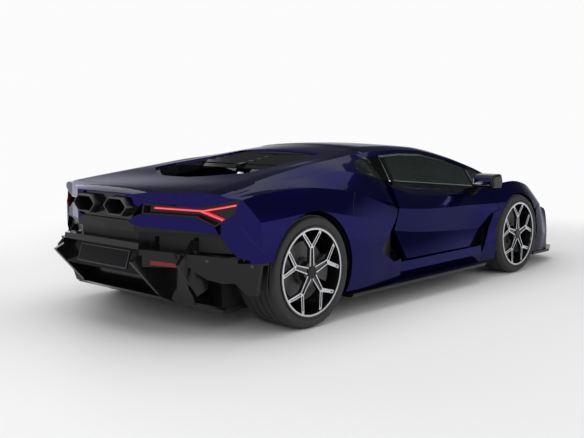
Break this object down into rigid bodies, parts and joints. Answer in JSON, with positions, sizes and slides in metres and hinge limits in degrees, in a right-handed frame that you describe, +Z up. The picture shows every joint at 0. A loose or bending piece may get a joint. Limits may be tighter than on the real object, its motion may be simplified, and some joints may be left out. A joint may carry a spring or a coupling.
{
  "type": "mid-engined supercar",
  "caption": "Low wedge-shaped two-seat car with upward-swinging doors, open engine bay, forked tail lamps, twin high exhausts and four free-rolling wheels.",
  "frame": {"origin": "on the floor at the middle of the car's length and width", "axes": "+X to the car's left, +Y towards the tail, +Z up"},
  "size_m": [2.25, 4.947, 1.1596],
  "materials": {
    "body_paint": "pearl gloss",
    "black_gloss": "gloss",
    "black_satin": "satin",
    "side_glass": "tinted",
    "lamp_red": "clear red",
    "lamp_clear": "clear",
    "exhaust_metal": "dark satin",
    "plate": "gloss",
    "tyre": "matt",
    "rim": "machined and black",
    "disc": "machined",
    "running_gear": "cast",
    "chassis": "woven, satin",
    "engine": "cast and coated",
    "leather": "matt"
  },
  "bodies": {
    "root": {"fender_left": "body_paint", "fender_right": "body_paint", "quarter_left": "body_paint", "quarter_right": "body_paint", "nose": "body_paint", "roof_frame": "body_paint", "engine_deck": "body_paint", "rear_wing": "body_paint", "sills": "body_paint", "tail_hood": "body_paint", "rear_panel": "body_paint", "cowl": "black_gloss", "engine_frame": "black_gloss", "side_blades": "black_gloss", "lamp_housing": "black_gloss", "diffuser": "black_gloss", "splitter": "black_gloss", "exhaust_surround": "black_gloss", "front_grilles": "black_satin", "intake_ducts": "black_satin", "wheel_liners": "black_satin", "rear_grille": "black_satin", "quarter_windows": "side_glass", "windscreen": "side_glass", "tail_lamps": "lamp_red", "headlamps": "lamp_clear", "exhausts": "exhaust_metal", "number_plate": "plate", "floor_tub": "chassis", "engine": "engine", "seats": "leather", "dashboard": "leather", "steering_wheel": "leather", "front_suspension": "running_gear", "rear_suspension": "running_gear"},
    "door_left": {"door_left": "body_paint", "door_glass_left": "side_glass", "mirror_left": "black_gloss"},
    "knuckle_left": {"knuckle_left": "running_gear"},
    "wheel_front_left": {"tyre_front_left": "tyre", "rim_front_left": "rim", "disc_front_left": "disc"},
    "wheel_rear_left": {"tyre_rear_left": "tyre", "rim_rear_left": "rim", "disc_rear_left": "disc"},
    "door_right": {"door_right": "body_paint", "door_glass_right": "side_glass", "mirror_right": "black_gloss"},
    "knuckle_right": {"knuckle_right": "running_gear"},
    "wheel_front_right": {"tyre_front_right": "tyre", "rim_front_right": "rim", "disc_front_right": "disc"},
    "wheel_rear_right": {"tyre_rear_right": "tyre", "rim_rear_right": "rim", "disc_rear_right": "disc"},
    "front_lid": {"front_lid": "body_paint"}
  },
  "joints": [
    {"name": "steer_left", "type": "hinge", "parent": "root", "child": "knuckle_left", "pos_m": [0.791, -1.3055, 0.346], "axis": [0, 0, 1], "range_deg": [-32, 32]},
    {"name": "spin_front_left", "type": "hinge", "parent": "knuckle_left", "child": "wheel_front_left", "pos_m": [0.9, -1.3055, 0.346], "axis": [1, 0, 0], "continuous": true},
    {"name": "spin_rear_left", "type": "hinge", "parent": "root", "child": "wheel_rear_left", "pos_m": [0.9, 1.4735, 0.369], "axis": [1, 0, 0], "continuous": true},
    {"name": "door_swing_left", "type": "hinge", "parent": "root", "child": "door_left", "pos_m": [0.846, -1, 0.731], "axis": [0.963, 0, -0.2696], "range_deg": [0, 62]},
    {"name": "steer_right", "type": "hinge", "parent": "root", "child": "knuckle_right", "pos_m": [-0.791, -1.3055, 0.346], "axis": [0, 0, 1], "range_deg": [-32, 32]},
    {"name": "spin_front_right", "type": "hinge", "parent": "knuckle_right", "child": "wheel_front_right", "pos_m": [-0.9, -1.3055, 0.346], "axis": [1, 0, 0], "continuous": true},
    {"name": "spin_rear_right", "type": "hinge", "parent": "root", "child": "wheel_rear_right", "pos_m": [-0.9, 1.4735, 0.369], "axis": [1, 0, 0], "continuous": true},
    {"name": "door_swing_right", "type": "hinge", "parent": "root", "child": "door_right", "pos_m": [-0.846, -1, 0.731], "axis": [0.963, 0, 0.2696], "range_deg": [0, 62]},
    {"name": "lid_lift", "type": "hinge", "parent": "root", "child": "front_lid", "pos_m": [0, -1.416, 0.708], "axis": [-1, 0, 0], "range_deg": [0, 60]}
  ]
}
